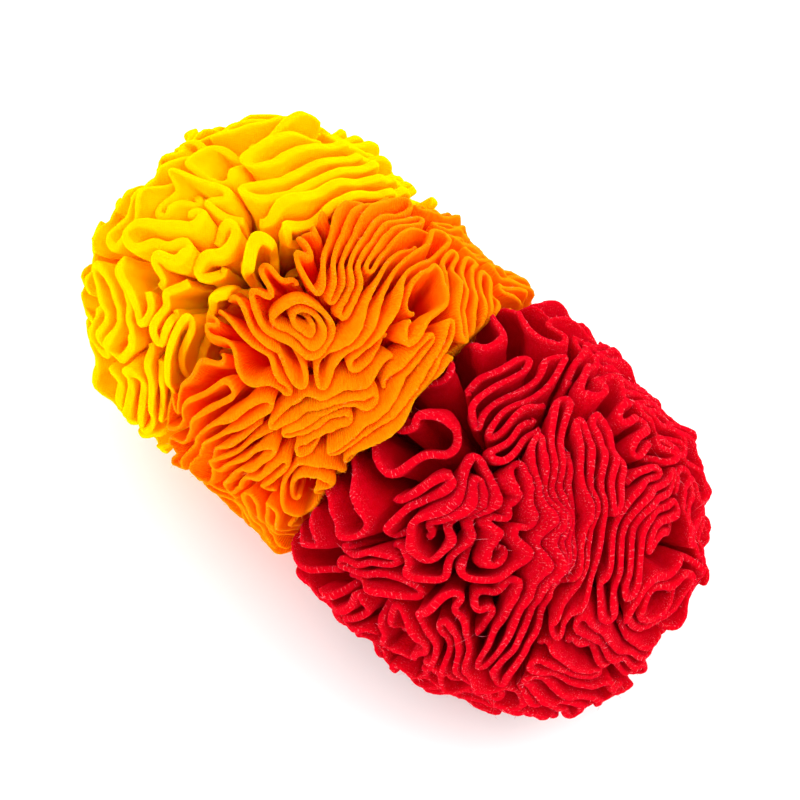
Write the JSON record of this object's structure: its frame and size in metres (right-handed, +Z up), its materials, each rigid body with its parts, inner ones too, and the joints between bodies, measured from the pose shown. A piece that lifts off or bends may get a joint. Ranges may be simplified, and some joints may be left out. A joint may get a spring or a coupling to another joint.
{
  "type": "snuffle mat",
  "caption": "Oblong soft snuffle mat of ruffled cloth strips drawn in to centres as pressed-together balls in yellow, orange and red, with folds that hide small treats.",
  "frame": {"origin": "centre of the bounding box's bottom, on the floor that the mat rests on", "axes": "+X along the row of balls from yellow to red, +Z up from the floor, +Y across, away from the seen side's foot"},
  "size_m": [0.2556, 0.1332, 0.1256],
  "materials": {
    "yellow_cloth": "soft brushed cloth, slightly felted, matt with a pale fuzz",
    "orange_cloth": "thin knitted cloth, fine ribs on its broad faces, brushed and matt",
    "red_cloth": "soft brushed fleece, matt, with pale pilling along its free edges"
  },
  "bodies": {
    "root": {"yellow_left_face": "yellow_cloth", "yellow_tongue": "yellow_cloth", "yellow_top_pocket": "yellow_cloth", "yellow_outline_waves": "yellow_cloth", "yellow_long_faces": "yellow_cloth", "yellow_right_band": "yellow_cloth", "yellow_hairpins": "yellow_cloth", "yellow_small_loop": "yellow_cloth", "yellow_keyhole": "yellow_cloth", "yellow_low_band": "yellow_cloth", "yellow_low_left": "yellow_cloth", "yellow_bottom_edge": "yellow_cloth", "yellow_back_high": "yellow_cloth", "yellow_back_low": "yellow_cloth", "yellow_under": "yellow_cloth", "yellow_front_low": "yellow_cloth", "yellow_inner": "yellow_cloth", "orange_coil": "orange_cloth", "orange_upper_pleats": "orange_cloth", "orange_broad_faces": "orange_cloth", "orange_hollow": "orange_cloth", "orange_top_diagonal": "orange_cloth", "orange_right_pack": "orange_cloth", "orange_low_curve": "orange_cloth", "orange_middle_pleats": "orange_cloth", "orange_ribbed_faces": "orange_cloth", "orange_low_waves": "orange_cloth", "orange_loop": "orange_cloth", "orange_low_edge": "orange_cloth", "orange_back_high": "orange_cloth", "orange_back_low": "orange_cloth", "orange_under": "orange_cloth", "orange_front_low": "orange_cloth", "orange_inner_left": "orange_cloth", "orange_inner_right": "orange_cloth", "red_left_face": "red_cloth", "red_wave": "red_cloth", "red_left_layers": "red_cloth", "red_oval_left": "red_cloth", "red_oval_right": "red_cloth", "red_long_low": "red_cloth", "red_long_high": "red_cloth", "red_corner": "red_cloth", "red_eye": "red_cloth", "red_top_right": "red_cloth", "red_right_layers": "red_cloth", "red_right_waves": "red_cloth", "red_low_loop": "red_cloth", "red_middle_waves": "red_cloth", "red_low_face": "red_cloth", "red_low_pocket": "red_cloth", "red_top_fans": "red_cloth", "red_back_high": "red_cloth", "red_back_low": "red_cloth", "red_back_under": "red_cloth", "red_under": "red_cloth", "red_front_low": "red_cloth", "red_inner": "red_cloth"}
  },
  "joints": []
}
